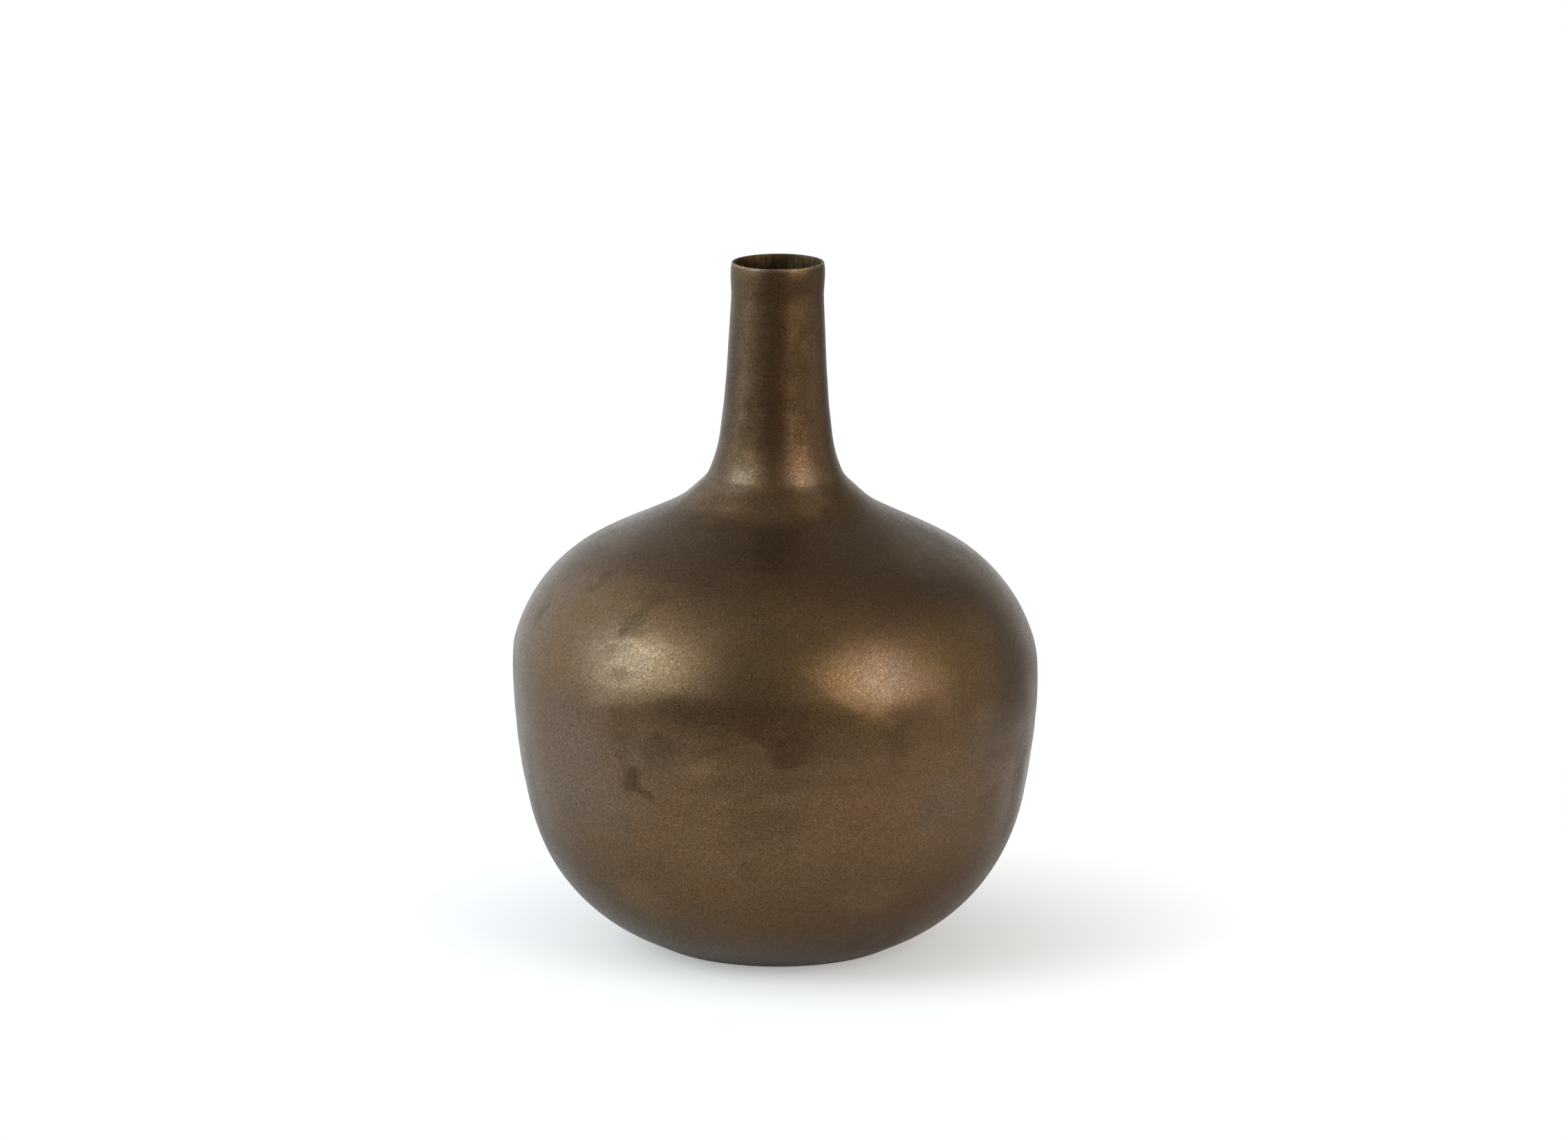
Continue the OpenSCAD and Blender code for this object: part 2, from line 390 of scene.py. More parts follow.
def hand_made(points):
    """Moves points of the exact vase to where the hand-made one has them."""
    x, y, z = points.T.copy()
    radius = np.hypot(x, y)
    turn = np.arctan2(x, -y)
    scale = 1 + pushed_out(turn, radius, z) / np.maximum(radius, LEAST_R)
    x *= scale
    y *= scale
    low, high = cad_box
    return np.c_[
        eased_within(x + shifted(z), low[0], high[0]),
        eased_within(y, low[1], high[1]),
        np.clip(z - sunk(turn, x, z), low[2], high[2]),
    ]


# Marks in the coat, and painted light

# Soft marks: smudges as fingers and polishing leave them, together with painted light. The paler
# rows are painted highlights that brighten the lamps' reflections, and some darker rows are
# painted shade that dims them. In millimetres and degrees: turn from the front to the right,
# height, radius there, half width, half height, slant up to the right, and strength, which is
# darker above 0 and paler below
SMUDGES_AND_PAINTED_LIGHT = [
    (-33.0, 102, 118, 6.5, 8.5, 0, 0.44),
    (-30.2, 95, 118, 9, 4.2, -60, 0.30),
    (-26.1, 121, 120, 5, 3.6, 20, 0.22),
    (-34.5, 124, 120, 11, 18, 0, 0.16),
    (-26.0, 118, 120, 16, 9, 0, 0.14),
    (3.5, 118, 120, 18, 11, -15, 0.42),
    (-2.5, 126, 120, 14, 8, -30, 0.30),
    (27.2, 119.5, 120, 9, 14, 0, 0.20),
    (-35.5, 169, 105, 11, 4.2, 50, 0.24),
    (-39.0, 164.5, 108, 4.6, 3.6, 30, 0.30),
    (-40.2, 155, 113, 6, 4.0, 40, 0.14),
    (-56.5, 179.5, 95, 8, 4.4, 35, 0.20),
    (-72.2, 159, 112, 9, 4.0, 35, 0.20),
    (-30.0, 58.5, 111, 16, 9, 0, 0.06),
    (-5.5, 60, 111, 11, 6, -40, 0.10),
    (36.5, 87, 117, 8, 7, 0, 0.10),
    (56.0, 77, 115, 14, 16, 0, 0.12),
    (-30.2, 204, 49, 10, 6, 0, 0.14),
    (-17.0, 196.5, 64, 14, 6, 0, 0.12),
    (56.0, 190, 77, 26, 10, 0, -0.22),
    (58.0, 163, 109, 18, 12, 0, -0.19),
    (-68.0, 191, 76, 20, 9, 0, -0.16),
    (-18.0, 114, 119, 15, 16, 0, -0.22),
    (-29.0, 161, 111, 16, 9, 0, -0.26),
    (-36.0, 135.5, 120, 28, 9.5, 6, -0.30),
    (22.0, 131.5, 120, 15, 7, 0, -0.34),
    (24.0, 150, 116, 10, 16, 0, -0.12),
    (39.0, 142, 118, 12, 24, 0, -0.17),
    (-60.0, 268, 23, 7, 52, 0, 0.20),
    (-33.0, 248, 24, 6, 20, 0, 0.34),
    (-27.0, 278, 22, 5, 42, 0, 0.18),
    (-33.0, 231, 27, 6, 8, 0, 0.16),
    (26.0, 266, 23, 6, 48, 0, 0.32),
    (58.0, 262, 22, 7, 62, 0, -0.18),
    (28.0, 223, 30, 13, 11, 0, -0.28),
    (26.0, 214, 35, 15, 8, 0, -0.40),
    (-31.0, 214, 35, 11, 5, 0, -0.18),
    (-46.0, 206, 45, 14, 8, 0, 0.22),
    (-8.0, 151, 115, 16, 13, 60, 0.14),
    (71.0, 78, 115, 13, 38, 0, 0.28),
    (-72.0, 78, 115, 12, 34, 0, 0.20),
    (-3.0, 83, 116, 30, 17, 15, 0.15),
    (12.0, 174, 101, 44, 9, 0, -0.12),
    (84.0, 193, 71, 18, 13, 0, 0.20),
    (-35.0, 177, 97, 14, 6, 0, 0.20),
    (-36.0, 146, 118, 11, 6, 0, 0.18),
    (34.0, 14, 78, 24, 11, 0, 0.20),
    (-36.0, 41, 103, 24, 12, 0, -0.24),
    (24.0, 44, 105, 22, 12, 0, -0.20),
    (52.0, 122, 120, 14, 12, 0, -0.17),
    (75.0, 126, 119, 11, 20, 0, -0.20),
    (28.0, 309, 21, 8, 7, 0, 0.25),
    (-22.0, 311, 21, 6, 4, 0, -0.22),
    (-37.0, 309, 21, 3, 2.5, 0, -0.18),
    (120.0, 112, 119, 11, 5, 35, 0.26),
    (171.0, 140, 118, 14, 8, -20, 0.22),
    (-140.0, 88, 117, 11, 6, 60, 0.26),
    (-118.0, 150, 116, 16, 9, 10, 0.20),
    (75.0, 96, 118, 9, 7, 0, 0.16),
]

# Wide soft zones of another hue, in the same terms, where strength is the share of the hue
RED_ZONES = [
    (20.0, 82, 116, 38, 30, 0, 0.28),
    (-4.0, 146, 116, 26, 16, 30, 0.5),
    (-13.5, 50, 108, 30, 16, 0, 0.3),
    (150.0, 90, 117, 40, 28, 0, 0.4),
    (-100.0, 130, 120, 30, 30, 0, 0.4),
    (48.0, 28, 92, 46, 34, 0, 1.3),
    (72.0, 80, 115, 24, 44, 0, 0.9),
    (-58.0, 34, 98, 30, 26, 0, 0.8),
    (0.0, 302, 21, 12, 20, 0, 0.8),
    (-8.0, 262, 22, 15, 66, 0, 1.0),
    (-2.0, 126, 120, 30, 14, 0, 0.8),
    (4.0, 186, 84, 40, 16, 0, 0.5),
]
# Greyer zones: partly the coat's own greyer hue, partly a painted highlight tint, cooler where
# the lamps' highlights fall on the belly, the neck and its root
GREY_ZONES_AND_PAINTED_HIGHLIGHT_TINT = [
    (-40.0, 152, 114, 36, 26, 0, 0.7),
    (-48.0, 122, 120, 30, 24, 0, 0.8),
    (-76.0, 96, 118, 16, 60, 0, 0.7),
    (26.0, 149, 116, 25, 17, 0, 0.75),
    (54.0, 114, 120, 22, 22, 0, 0.6),
    (-50.0, 265, 22, 14, 62, 0, 0.6),
    (-38.0, 220, 31, 14, 12, 0, 0.8),
    (54.0, 183, 91, 24, 14, 0, 0.5),
    (26.0, 222, 30, 13, 8, 0, 0.7),
    (168.0, 60, 112, 40, 30, 0, 0.5),
    (-46.0, 92, 118, 40, 34, 0, 0.9),
    (39.5, 86, 118, 20, 22, 0, 0.6),
    (-28.0, 114, 119, 26, 18, 0, 0.5),
]
# More olive zones: partly the coat's own hue, partly a painted reflection tint, warmer where the
# belly mirrors the front and at the right root highlight
OLIVE_ZONES_AND_PAINTED_REFLECTION_TINT = [
    (2.0, 160, 110, 42, 32, 0, 0.8),
    (44.0, 156, 114, 24, 26, 0, 0.9),
    (19.0, 128, 120, 24, 9, 10, 0.9),
    (28.0, 284, 21, 9, 30, 0, 0.6),
    (26.0, 211, 36, 16, 7, 0, 0.6),
    (12.0, 137, 120, 20, 10, 0, 0.8),
    (70.0, 222, 32, 16, 26, 0, 1.0),
    (100.0, 150, 116, 34, 22, 0, 0.5),
    (-160.0, 160, 112, 34, 22, 0, 0.5),
]

MARKS = {"smudge_and_painted_light": SMUDGES_AND_PAINTED_LIGHT, "red": RED_ZONES, "grey": GREY_ZONES_AND_PAINTED_HIGHLIGHT_TINT, "olive": OLIVE_ZONES_AND_PAINTED_REFLECTION_TINT}
MARK_REACH = 45 * MM
MARK_SOFTNESS = 0.75

# The waves that make the edges of marks uneven: how far, how many, lengths in millimetres
EDGE_WANDER = 0.7 * MM
EDGE_WAVES = 8
EDGE_LENGTHS = (9, 20)
EDGE_SEED = 5


def wandered(points):
    """The points moved a little by short waves, so that marks have uneven edges."""
    rng = np.random.default_rng(EDGE_SEED)
    moved = points.copy()
    for _ in range(EDGE_WAVES):
        wave = rng.normal(size=3)
        wave *= 2 * math.pi / (rng.uniform(*EDGE_LENGTHS) * MM) / np.linalg.norm(wave)
        phase = rng.uniform(0, 2 * math.pi)
        moved += EDGE_WANDER * rng.normal(size=3) * np.sin(points @ wave + phase)[:, None]
    return moved


def covered(points, rows):
    """How strongly soft oval marks on the wall cover each point."""
    total = np.zeros(len(points))
    for turn, *lengths, slant, strength in rows:
        height, radius, half_width, half_height = (length * MM for length in lengths)
        t, lean = math.radians(turn), math.radians(slant)
        out = np.array([math.sin(t), -math.cos(t), 0])
        away = points - radius * out
        up = away[:, 2] - height
        across = away @ np.array([math.cos(t), math.sin(t), 0])
        u = (across * math.cos(lean) + up * math.sin(lean)) / half_width
        v = (up * math.cos(lean) - across * math.sin(lean)) / half_height
        w = away @ out / MARK_REACH
        far = np.sqrt(u * u + v * v + w * w)
        total += strength * smooth_step(1 - far, 0, MARK_SOFTNESS)
    return total


# Turned meshes

def ring_angles(radius, count, gap):
    """Angles of one ring: all round, beside the seam's slot, or across the slot."""
    middle = math.radians(SEAM_TURN)
    half = math.asin(min(1, SEAM_W / 2 / radius))
    if gap == "slot":
        return middle + np.linspace(-half, half, count)
    if gap == "rest":
        return middle + np.linspace(half, 2 * math.pi - half, count)
    return middle + np.arange(count) / count * 2 * math.pi


def bead_rise(z, share, bead, count):
    """How far a weld's bead stands proud of the inside, across its width at one height."""
    band_z = LIP_Z - BAND_H
    below_band = 1 - smooth_step(z, band_z - BEAD_FADE_FROM, band_z - BEAD_FADE_TO)
    return bead * share * below_band * np.cos(np.linspace(-1, 1, count) * math.pi / 2)


def inside_share(points, along):
    """1 where a point of the outline lies on the inside of the vase, else 0."""
    outward = np.c_[along[:, 1], -along[:, 0]]
    middle = np.array([0, GIRTH_Z])
    if points[:, 1].min() > ROOT_Z - NECK_PIECES_REACH:
        return (outward[:, 0] < 0).astype(float)
    return (np.sum(outward * (points - middle), axis=1) < 0).astype(float)


def ring_faces(points, first, count, gap):
    """Faces between each ring and the next, and caps where the piece doesn't go all round."""
    faces = []
    cells = count - 1 if gap else count
    for k in range(len(points)):
        n = (k + 1) % len(points)
        here = points[k][0] < SAME_POINT
        there = points[n][0] < SAME_POINT
        if here and there:
            continue
        for j in range(cells):
            i = (j + 1) % count
            if here:
                faces.append((first[k], first[n] + i, first[n] + j))
            elif there:
                faces.append((first[k] + j, first[k] + i, first[n]))
            else:
                faces.append((first[k] + j, first[k] + i, first[n] + i, first[n] + j))
    if gap:
        faces.append(tuple(first))
        faces.append(tuple(f + count - 1 for f in reversed(first)))
    return faces


def keep_numbers(mesh, name, values):
    """Keeps one number for each corner of a mesh, for its material to read."""
    mesh.attributes.new(name, "FLOAT", "POINT").data.foreach_set("value", values)


def turned(name, points, count=STEPS_AROUND, gap=None, bead=0.0):
    """A mesh object turned from an outline, closed, with what its material needs to know."""
    along = np.roll(points, -1, axis=0) - np.roll(points, 1, axis=0)
    along /= np.maximum(np.linalg.norm(along, axis=1), TINY)[:, None]
    inward = np.clip(-along[:, 1], 0, 1)
    verts = []
    marks = []
    first = []
    for (r, z), share, mark in zip(points, inward, inside_share(points, along)):
        first.append(len(verts))
        if r < SAME_POINT:
            verts.append((0, 0, z))
            marks.append(mark)
            continue
        angles = ring_angles(r, count, gap)
        reach = r - bead_rise(z, share, bead, count)
        verts.extend(zip(reach * np.cos(angles), reach * np.sin(angles), [z] * count))
        marks.extend([mark] * count)
    exact = np.array(verts)
    mesh = bpy.data.meshes.new(name)
    mesh.from_pydata(hand_made(exact).tolist(), [], ring_faces(points, first, count, gap))
    mesh.validate()
    keep_numbers(mesh, "inside", marks)
    keep_numbers(mesh, "rim", smooth_step(exact[:, 2], LIP_Z - WORN_FROM, LIP_Z - WORN_TO))
    uneven = wandered(exact)
    for kind, rows in MARKS.items():
        keep_numbers(mesh, kind, covered(uneven, rows))
    mesh.shade_smooth()
    mesh.set_sharp_from_angle(angle=math.radians(CORNER_TURN))
    piece = bpy.data.objects.new(name, mesh)
    bpy.context.scene.collection.objects.link(piece)
    return piece


# Materials

# Colours in linear light
COAT = (0.152, 0.092, 0.050, 1)
OLIVE = (0.151, 0.092, 0.042, 1)
REDDISH = (0.163, 0.086, 0.043, 1)
GREYISH = (0.146, 0.099, 0.066, 1)
EDGE_TINT = (0.82, 0.895, 0.90, 1)
WORN = (0.40, 0.29, 0.20, 1)
DEEP = (0.02, 0.01, 0.003, 1)
# Painted shade: the coat turns darker and warmer towards the foot
FOOT_PAINTED_SHADE = (0.100, 0.048, 0.018, 1)
INSIDE = (0.090, 0.054, 0.026, 1)
INSIDE_OLIVE = (0.108, 0.076, 0.031, 1)
FELT_DARK = (0.012, 0.012, 0.013, 1)
FELT_PALE = (0.035, 0.034, 0.033, 1)
WHITE = (1, 1, 1, 1)

# Noise patterns: size of the features, seed, detail, roughness and distortion
PATTERNS = {
    "grain": (1.0 * MM, 1.0, 2.0, 0.6, 0.8),
    "fine_grain": (0.5 * MM, 2.0, 1.0, 0.5, 0.6),
    "sparkle": (0.8 * MM, 71.0, 1.0, 0.5, 0.0),
    "fleck": (2.0 * MM, 81.0, 2.0, 0.5, 0.0),
    "mottle": (7 * MM, 7.0, 3.0, 0.5, 0.0),
    "grey_mottle": (7 * MM, 21.0, 3.0, 0.5, 0.0),
    "cloud": (24 * MM, 5.0, 3.0, 0.5, 0.0),
    "rough_cloud": (24 * MM, 51.0, 3.0, 0.5, 0.0),
    "zone": (70 * MM, 3.0, 2.0, 0.5, 0.0),
    "lip_wear": (5 * MM, 41.0, 3.0, 0.5, 0.0),
    "turning_lines": (30 * MM, 61.0, 2.0, 0.5, 0.0),
    "inner_streaks": (2.2 * MM, 31.0, 3.0, 0.5, 0.0),
    "inner_spots": (1.8 * MM, 33.0, 4.0, 0.65, 0.0),
    "felt_fibres": (0.3 * MM, 0.0, 4.0, 0.7, 2.0),
}

# How many times wider than tall the features are: under 1 they stand upright
LINES_STRETCH = 60.0
STREAKS_STRETCH = 0.35
SPOTS_STRETCH = 0.7

# Other hues of the coat, and the patterns that bring each about: low, high, share at high
HUES = {
    "red": (REDDISH, (
        ("cloud", 0.52, 0.75, 0.4), ("mottle", 0.54, 0.74, 0.15), ("fleck", 0.52, 0.72, 0.7),
    )),
    "olive": (OLIVE, (
        ("cloud", 0.46, 0.28, 0.5), ("mottle", 0.46, 0.28, 0.2), ("fleck", 0.48, 0.28, 0.9),
    )),
    "grey": (GREYISH, (("grey_mottle", 0.52, 0.75, 0.4),)),
}

# How strongly each pattern changes the coat's brightness
GRAIN_CONTRAST = 1.5
FINE_CONTRAST = 1.1
MOTTLE_CONTRAST = 0.16
ZONE_CONTRAST = 0.25

# Soft ranges of the coat: from low, from high and, where it isn't 0 and 1, to low and to high
EDGE_FACING = (0.25, 0.9)
# The grain is stronger on the left: painted sparkle where the left lamp's light falls
LEFT_GRAIN = (60 * MM, -60 * MM, 1.0, 1.25)
INNER_OLIVE_SPOTS = (0.42, 0.62)
INNER_OLIVE_ACROSS = (0, 9 * MM, 0.15, 1.0)
INNER_STREAK_LEVEL = (0.3, 0.7, 0.6, 1.5)
WEAR_SPOTS = (0.30, 0.62, 0.35, 1.0)
WEAR_FRONT = (12 * MM, -8 * MM, 0.2, 1.0)
FOOT_PAINTED_SHADE_Z = (72 * MM, 4 * MM, 0, 0.42)

# Roughness
COAT_ROUGHNESS = 0.375
ROUGHNESS_SPREAD = 0.03
ROUGH_CLOUD = (0.3, 0.7, COAT_ROUGHNESS - ROUGHNESS_SPREAD, COAT_ROUGHNESS + ROUGHNESS_SPREAD)
MARK_DULLNESS = 0.3
FLAKE_POLISH = 0.2
SPARKLE_POLISH = (0.56, 0.70, 0, 0.18)
INSIDE_ROUGHER = 0.18
NECK_ROUGHER = 0.05
FELT_ROUGHNESS = 0.95

# How much darker the coat is on the neck, and how far about the root it changes
NECK_DARKER = 0.28
NECK_CHANGE = 12 * MM

# Relief: its depth, and the shares of the fine grain and of the lines round the vase
RELIEF = 0.035 * MM
FINE_RELIEF = 0.5
LINE_RELIEF = 0.25
FELT_RELIEF = 0.1 * MM


def add_node(tree, kind, inputs=None, **settings):
    """Adds a node, sets it up and links or fills its inputs."""
    made = tree.nodes.new(kind)
    for key, value in settings.items():
        setattr(made, key, value)
    for key, value in (inputs or {}).items():
        if isinstance(value, bpy.types.NodeSocket):
            tree.links.new(value, made.inputs[key])
        else:
            made.inputs[key].default_value = value
    return made


def attribute(tree, name):
    """A number that the mesh keeps for each of its corners."""
    return add_node(tree, "ShaderNodeAttribute", attribute_name=name).outputs["Fac"]


def object_place(tree):
    """The place on the object, in metres."""
    return add_node(tree, "ShaderNodeTexCoord").outputs["Object"]


def axes_of(tree, vector):
    """The parts of a vector along X, Y and Z."""
    return add_node(tree, "ShaderNodeSeparateXYZ", {"Vector": vector}).outputs


def noise(tree, place, pattern):
    """One of the noise patterns, from 0 to 1."""
    size, seed, detail, rough, distortion = PATTERNS[pattern]
    made = add_node(
        tree, "ShaderNodeTexNoise",
        {"Vector": place, "W": seed, "Scale": 1 / size, "Detail": detail, "Roughness": rough,
         "Distortion": distortion},
        noise_dimensions="4D",
    )
    return made.outputs["Fac"]


def mapped(tree, value, low, high, to_low=0.0, to_high=1.0):
    """A value taken softly from one range to another."""
    made = add_node(
        tree, "ShaderNodeMapRange",
        {"Value": value, "From Min": low, "From Max": high, "To Min": to_low, "To Max": to_high},
        interpolation_type="SMOOTHSTEP",
    )
    return made.outputs["Result"]


def math_node(tree, operation, a, b=0.0, c=0.0):
    """The result of an operation on up to three numbers."""
    made = add_node(tree, "ShaderNodeMath", {0: a, 1: b, 2: c}, operation=operation)
    return made.outputs[0]


def mixed(tree, share, a, b, blend="MIX"):
    """Colour a with b over it."""
    made = add_node(
        tree, "ShaderNodeMix", {0: share, 6: a, 7: b}, data_type="RGBA", blend_type=blend
    )
    return made.outputs[2]


def blended(tree, share, a, b):
    """Number a with b over it."""
    return add_node(tree, "ShaderNodeMix", {0: share, 2: a, 3: b}, data_type="FLOAT").outputs[0]


def scaled(tree, vector, factor):
    """A vector or colour times a number."""
    made = add_node(tree, "ShaderNodeVectorMath", {0: vector, "Scale": factor}, operation="SCALE")
    return made.outputs["Vector"]


def stretched(tree, place, along_z):
    """The place with its height scaled, for marks that run up or round the vase."""
    made = add_node(tree, "ShaderNodeMapping", {"Vector": place, "Scale": (1, 1, along_z)})
    return made.outputs["Vector"]


def centred(tree, value, contrast):
    """Noise about 0 instead of 0.5, at a contrast."""
    return math_node(tree, "MULTIPLY_ADD", value, contrast, -contrast / 2)


def empty_material(name):
    """A new material without nodes."""
    material = bpy.data.materials.new(name)
    material.use_nodes = True
    material.node_tree.nodes.clear()
    return material


def coat_hue(tree, place, cloud, mottle):
    """Hue of the coat outside: redder, more olive and greyer in clouds, flecks and zones, some
    zones a painted highlight tint.
    """
    patterns = {
        "cloud": cloud,
        "mottle": mottle,
        "fleck": noise(tree, place, "fleck"),
        "grey_mottle": noise(tree, place, "grey_mottle"),
    }
    colour = COAT
    for hue, (tint, causes) in HUES.items():
        share = attribute(tree, hue)
        for pattern, low, high, most in causes:
            added = mapped(tree, patterns[pattern], low, high, 0, most)
            share = math_node(tree, "ADD", share, added)
        colour = mixed(tree, math_node(tree, "MINIMUM", share, 1.0), colour, tint)
    facing = add_node(tree, "ShaderNodeLayerWeight", {"Blend": 0.5}).outputs["Facing"]
    tint = mixed(tree, mapped(tree, facing, *EDGE_FACING), WHITE, EDGE_TINT)
    return mixed(tree, 1.0, colour, tint, "MULTIPLY")


def coat_colour(tree, place, grain, fine, dark):
    """Colour of the coat outside: its hue, with grain, mottling, smudges and painted highlights
    and shade.
    """
    zone = noise(tree, place, "zone")
    cloud = noise(tree, place, "cloud")
    mottle = noise(tree, place, "mottle")
    power = centred(tree, grain, GRAIN_CONTRAST)
    power = math_node(tree, "ADD", power, centred(tree, fine, FINE_CONTRAST))
    # Stronger grain on the left is painted sparkle of the left lamp
    left = mapped(tree, axes_of(tree, place)["X"], *LEFT_GRAIN)
    power = math_node(tree, "MULTIPLY", power, left)
    power = math_node(tree, "ADD", power, centred(tree, mottle, MOTTLE_CONTRAST))
    power = math_node(tree, "ADD", power, centred(tree, zone, ZONE_CONTRAST))
    # dark holds the smudges together with the painted highlights and painted shade of the marks
    # table
    level = math_node(tree, "EXPONENT", math_node(tree, "SUBTRACT", power, dark))
    return scaled(tree, coat_hue(tree, place, cloud, mottle), level)


def inner_colour(tree, place, olive_level):
    """Colour inside the neck: dark, with upright streaks and olive mottling on the right."""
    streaks = noise(tree, stretched(tree, place, STREAKS_STRETCH), "inner_streaks")
    spots = noise(tree, stretched(tree, place, SPOTS_STRETCH), "inner_spots")
    olive = mapped(tree, spots, *INNER_OLIVE_SPOTS, 0, olive_level)
    right = mapped(tree, axes_of(tree, place)["X"], *INNER_OLIVE_ACROSS)
    colour = mixed(tree, math_node(tree, "MULTIPLY", olive, right), INSIDE, INSIDE_OLIVE)
    return scaled(tree, colour, mapped(tree, streaks, *INNER_STREAK_LEVEL))


def worn_share(tree, place):
    """How far the coat is worn off: in spots along the rim, most at the front."""
    bare = mapped(tree, noise(tree, place, "lip_wear"), *WEAR_SPOTS)
    bare = math_node(tree, "MULTIPLY", bare, attribute(tree, "rim"))
    front = mapped(tree, axes_of(tree, place)["Y"], *WEAR_FRONT)
    return math_node(tree, "MULTIPLY", bare, front)


def coat_roughness(tree, place, grain, dark, within, neck):
    """Roughness of the coat: duller in dark marks, inside and on the neck, bright in flakes."""
    rough = mapped(tree, noise(tree, place, "rough_cloud"), *ROUGH_CLOUD)
    dull = math_node(tree, "MAXIMUM", dark, 0.0)
    rough = math_node(tree, "MULTIPLY_ADD", dull, MARK_DULLNESS, rough)
    flakes = math_node(tree, "SUBTRACT", grain, 0.5)
    rough = math_node(tree, "MULTIPLY_ADD", flakes, -FLAKE_POLISH, rough)
    sparkle = mapped(tree, noise(tree, place, "sparkle"), *SPARKLE_POLISH)
    rough = math_node(tree, "SUBTRACT", rough, sparkle)
    rough = math_node(tree, "MULTIPLY_ADD", within, INSIDE_ROUGHER, rough)
    return math_node(tree, "MULTIPLY_ADD", neck, NECK_ROUGHER, rough)


def coat_relief(tree, place, grain, fine, dressing):
    """Bumped normal of the coat: its grain, and faint lines from turning and dressing."""
    lines = noise(tree, stretched(tree, place, LINES_STRETCH), "turning_lines")
    relief = math_node(tree, "MULTIPLY_ADD", fine, FINE_RELIEF, grain)
    relief = math_node(tree, "MULTIPLY_ADD", lines, LINE_RELIEF + dressing, relief)
    bump = add_node(
        tree, "ShaderNodeBump", {"Height": relief, "Strength": 1.0, "Distance": RELIEF}
    )
    return bump.outputs["Normal"]


def bronze(name, olive_level=0.7, dressing=0.0):
    """Dark bronze coat with a fine metallic grain, worn at the lip and dark inside."""
    material = empty_material(name)
    tree = material.node_tree
    place = object_place(tree)
    height = axes_of(tree, place)["Z"]
    grain = noise(tree, place, "grain")
    fine = noise(tree, place, "fine_grain")
    # This attribute holds smudges together with painted highlights and painted shade
    dark = attribute(tree, "smudge_and_painted_light")
    within = attribute(tree, "inside")
    neck = mapped(tree, height, ROOT_Z - NECK_CHANGE, ROOT_Z + NECK_CHANGE)
    outside = coat_colour(tree, place, grain, fine, dark)
    colour = mixed(tree, within, outside, inner_colour(tree, place, olive_level))
    colour = mixed(tree, worn_share(tree, place), colour, WORN)
    colour = mixed(tree, math_node(tree, "MULTIPLY", neck, NECK_DARKER), colour, DEEP)
    # Painted shade, darker and warmer towards the foot
    colour = mixed(tree, mapped(tree, height, *FOOT_PAINTED_SHADE_Z), colour, FOOT_PAINTED_SHADE)
    rough = coat_roughness(tree, place, grain, dark, within, neck)
    shader = add_node(
        tree, "ShaderNodeBsdfPrincipled",
        {"Base Color": colour, "Metallic": 1.0, "Roughness": rough,
         "Normal": coat_relief(tree, place, grain, fine, dressing)},
    )
    add_node(tree, "ShaderNodeOutputMaterial", {"Surface": shader.outputs["BSDF"]})
    return material


def felt_material():
    """Black pressed felt: matt, with a short tangled nap."""
    material = bpy.data.materials.new("black_felt")
    material.use_nodes = True
    tree = material.node_tree
    shader = tree.nodes["Principled BSDF"]
    fibres = noise(tree, object_place(tree), "felt_fibres")
    tree.links.new(mixed(tree, fibres, FELT_DARK, FELT_PALE), shader.inputs["Base Color"])
    shader.inputs["Roughness"].default_value = FELT_ROUGHNESS
    bump = add_node(tree, "ShaderNodeBump", {"Height": fibres, "Distance": FELT_RELIEF})
    tree.links.new(bump.outputs["Normal"], shader.inputs["Normal"])
    return material


# Stage

# Soft ranges of the floor by the distance from its middle, in the order of the coat's
FLOOR_FADE = (0.34, 0.47)
# The glow is weaker near the foot: a painted shadow round the vase, seen directly and in the
# metal's reflection
FLOOR_GLOW_PAINTED_SHADOW = (0.06, 0.24, 0.36, 0.52)
FLOOR_MIRRORED_PAINTED_SHADOW = (0.10, 0.34, 0.09, 0.38)
FLOOR_R = 0.75
FLOOR_CORNERS = 96
FLOOR_COLOUR = (0.8, 0.8, 0.8, 1)


def floor_glow(tree, far):
    """Glow that makes the floor white to the camera, and as metal and glass mirror it, weaker
    near the foot as a painted shadow.
    """
    path = add_node(tree, "ShaderNodeLightPath").outputs
    seen = mapped(tree, far, *FLOOR_GLOW_PAINTED_SHADOW)
    seen = math_node(tree, "MULTIPLY", seen, path["Is Camera Ray"])
    other = math_node(tree, "MAXIMUM", path["Is Glossy Ray"], path["Is Transmission Ray"])
    mirrored = math_node(tree, "MULTIPLY", mapped(tree, far, *FLOOR_MIRRORED_PAINTED_SHADOW), other)
    return math_node(tree, "ADD", seen, mirrored)


